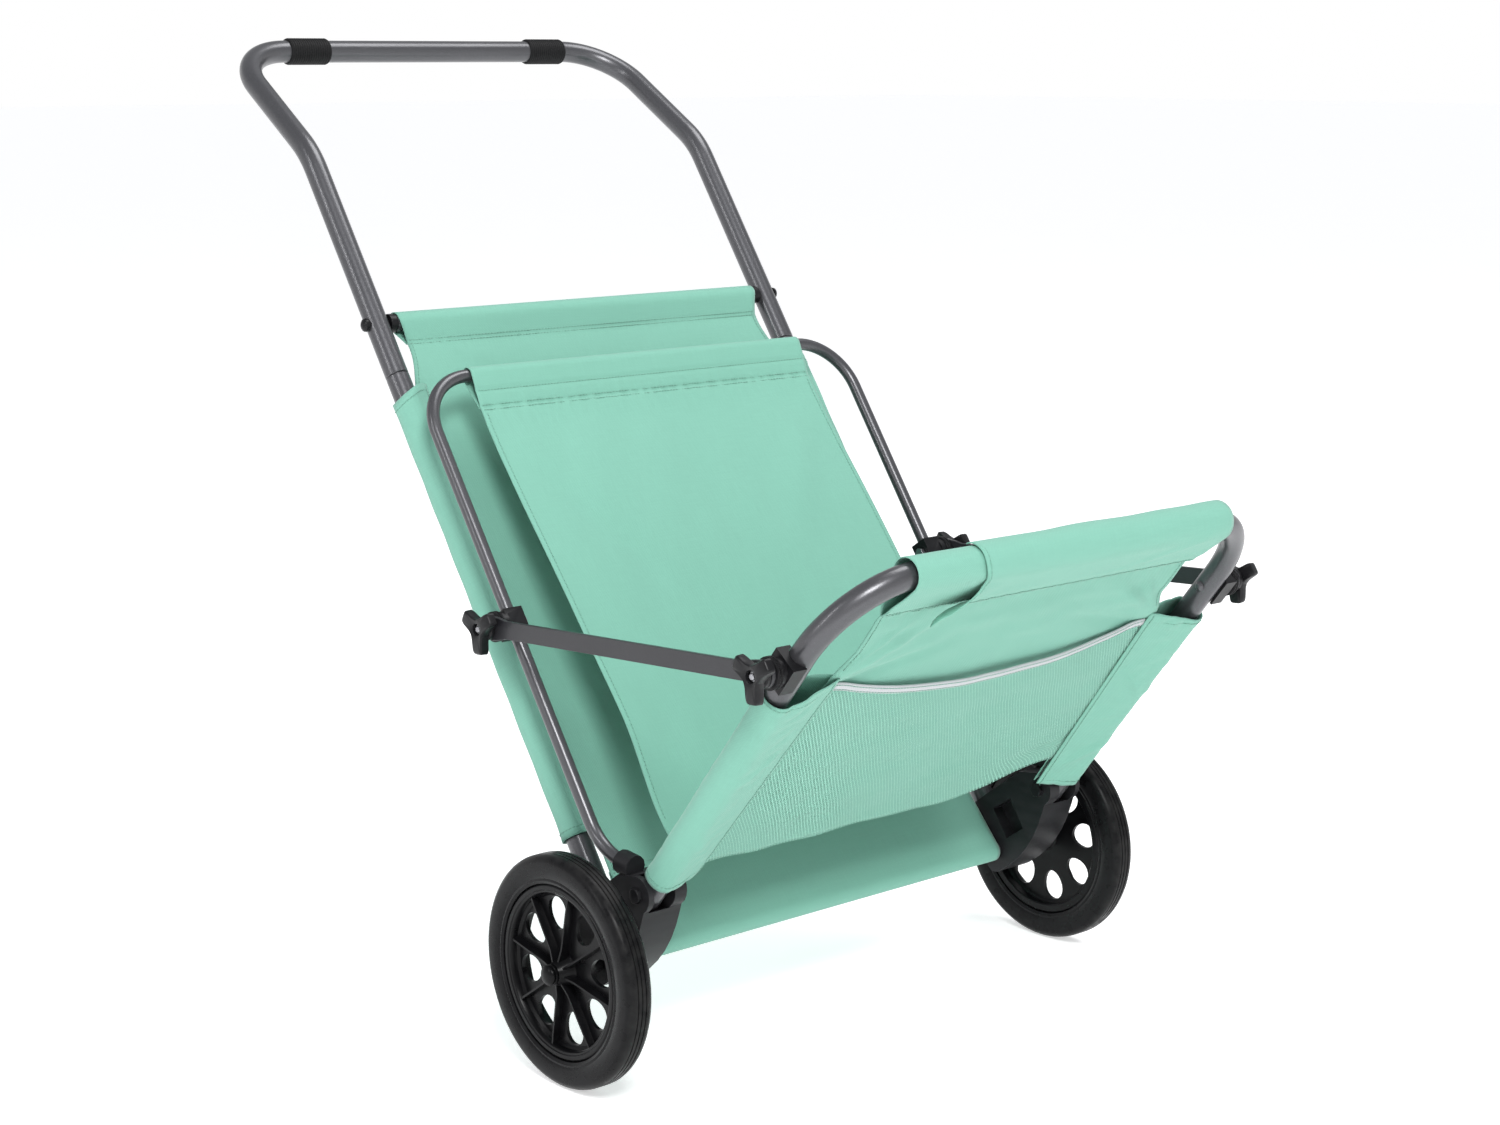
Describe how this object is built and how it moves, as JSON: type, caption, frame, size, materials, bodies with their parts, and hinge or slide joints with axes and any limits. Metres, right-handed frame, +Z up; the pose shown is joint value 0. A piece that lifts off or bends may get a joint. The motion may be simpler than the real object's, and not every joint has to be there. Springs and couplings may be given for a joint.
{
  "type": "wagon with pull handle",
  "caption": "two-wheeled fabric pull cart with a bent-tube handle, V-shaped sling hopper between a back frame and a hinged front frame, flat side stays and clamping knobs",
  "frame": {"origin": "on the floor under the middle of the whole box, in the posture of being pulled: both wheels on the floor, main tubes leaning back 34.8 degrees from upright and the grip held up", "axes": "+X to the right of a person who stands behind the cart and looks over the grip at the load, +Y back towards the grip and the person who pulls, +Z up"},
  "size_m": [0.6516, 0.9376, 0.8847],
  "materials": {
    "tube": "dark grey metallic powder coat on round steel tube",
    "stay": "dark grey satin paint on flat steel bar",
    "steel": "zinc-plated steel",
    "tyre": "black rubber-like tyre, fine rings on the tread",
    "plastic": "black moulded plastic, satin",
    "grip": "black soft plastic, ribbed round the tube",
    "cloth": "mint green woven polyester, plain weave",
    "mesh": "mint green open knitted mesh",
    "tape": "light grey woven binding tape"
  },
  "bodies": {
    "main_frame": {"handle_tube": "tube", "grip_band_left": "grip", "grip_band_right": "grip", "side_tube_left": "tube", "side_tube_right": "tube", "crossbar_plug_left": "plastic", "crossbar_plug_right": "plastic", "crossbar_bolt_left": "plastic", "crossbar_bolt_right": "plastic", "side_bracket_left": "plastic", "side_bracket_right": "plastic", "pivot_bolt_left": "plastic", "pivot_bolt_right": "plastic", "axle_spacer_left": "plastic", "axle_spacer_right": "plastic", "upper_crossbar": "tube", "lower_crossbar": "tube", "axle_rod": "steel", "inner_hoop": "tube", "back_panel": "cloth", "inner_sling": "cloth"},
    "wheel_left": {"wheel_tyre_left": "tyre", "wheel_rim_left": "plastic", "hub_cap_left": "plastic"},
    "wheel_right": {"wheel_tyre_right": "tyre", "wheel_rim_right": "plastic", "hub_cap_right": "plastic"},
    "front_frame": {"front_tube": "tube", "front_panel": "cloth", "mesh_pocket": "mesh", "pocket_tape": "tape", "front_saddle_left": "plastic", "front_saddle_right": "plastic", "front_bolt_left": "steel", "front_bolt_right": "steel", "front_disc_inner_left": "plastic", "front_disc_inner_right": "plastic"},
    "stay_left": {"stay_bar_left": "stay", "front_disc_outer_left": "plastic", "rear_disc_outer_left": "plastic", "rear_bolt_left": "steel"},
    "collar_left": {"sliding_collar_left": "plastic", "collar_nut_left": "steel", "rear_disc_inner_left": "plastic"},
    "front_knob_left": {"front_knob_left": "plastic"},
    "rear_knob_left": {"rear_knob_left": "plastic"},
    "stay_right": {"stay_bar_right": "stay", "front_disc_outer_right": "plastic", "rear_disc_outer_right": "plastic", "rear_bolt_right": "steel"},
    "collar_right": {"sliding_collar_right": "plastic", "collar_nut_right": "steel", "rear_disc_inner_right": "plastic"},
    "front_knob_right": {"front_knob_right": "plastic"},
    "rear_knob_right": {"rear_knob_right": "plastic"}
  },
  "joints": [
    {"name": "wheel_left_spin", "type": "hinge", "parent": "main_frame", "child": "wheel_left", "pos_m": [-0.301, -0.16325, 0.10198], "axis": [1, 0, 0], "continuous": true},
    {"name": "wheel_right_spin", "type": "hinge", "parent": "main_frame", "child": "wheel_right", "pos_m": [0.301, -0.16325, 0.10198], "axis": [1, 0, 0], "continuous": true},
    {"name": "front_fold", "type": "hinge", "parent": "main_frame", "child": "front_frame", "pos_m": [0, -0.21754, 0.17454], "axis": [-1, 0, 0], "range_deg": [-6, 24]},
    {"name": "stay_left_swing", "type": "hinge", "parent": "front_frame", "child": "stay_left", "pos_m": [-0.282, -0.39523, 0.39954], "axis": [1, 0, 0], "range_deg": [-9.7, 38.2]},
    {"name": "collar_left_slide", "type": "slide", "parent": "main_frame", "child": "collar_left", "axis": [0, 0.5707, 0.8211], "range_m": [-0.0455, 0.1785]},
    {"name": "stay_right_swing", "type": "hinge", "parent": "front_frame", "child": "stay_right", "pos_m": [0.282, -0.39523, 0.39954], "axis": [1, 0, 0], "range_deg": [-9.7, 38.2]},
    {"name": "collar_right_slide", "type": "slide", "parent": "main_frame", "child": "collar_right", "axis": [0, 0.5707, 0.8211], "range_m": [-0.0455, 0.1785]},
    {"name": "front_knob_left_turn", "type": "hinge", "parent": "front_frame", "child": "front_knob_left", "pos_m": [-0.29, -0.39523, 0.39954], "axis": [-1, 0, 0], "range_deg": [0, 720]},
    {"name": "rear_knob_left_turn", "type": "hinge", "parent": "stay_left", "child": "rear_knob_left", "pos_m": [-0.29, -0.03309, 0.37686], "axis": [-1, 0, 0], "range_deg": [0, 720]},
    {"name": "front_knob_right_turn", "type": "hinge", "parent": "front_frame", "child": "front_knob_right", "pos_m": [0.29, -0.39523, 0.39954], "axis": [1, 0, 0], "range_deg": [0, 720]},
    {"name": "rear_knob_right_turn", "type": "hinge", "parent": "stay_right", "child": "rear_knob_right", "pos_m": [0.29, -0.03309, 0.37686], "axis": [1, 0, 0], "range_deg": [0, 720]}
  ],
  "couplings": [
    {"joint": "stay_left_swing", "follows": "front_fold", "ratio": 1.5782},
    {"joint": "collar_left_slide", "follows": "front_fold", "m_per_rad": 0.4234},
    {"joint": "stay_right_swing", "follows": "front_fold", "ratio": 1.5782},
    {"joint": "collar_right_slide", "follows": "front_fold", "m_per_rad": 0.4234}
  ]
}
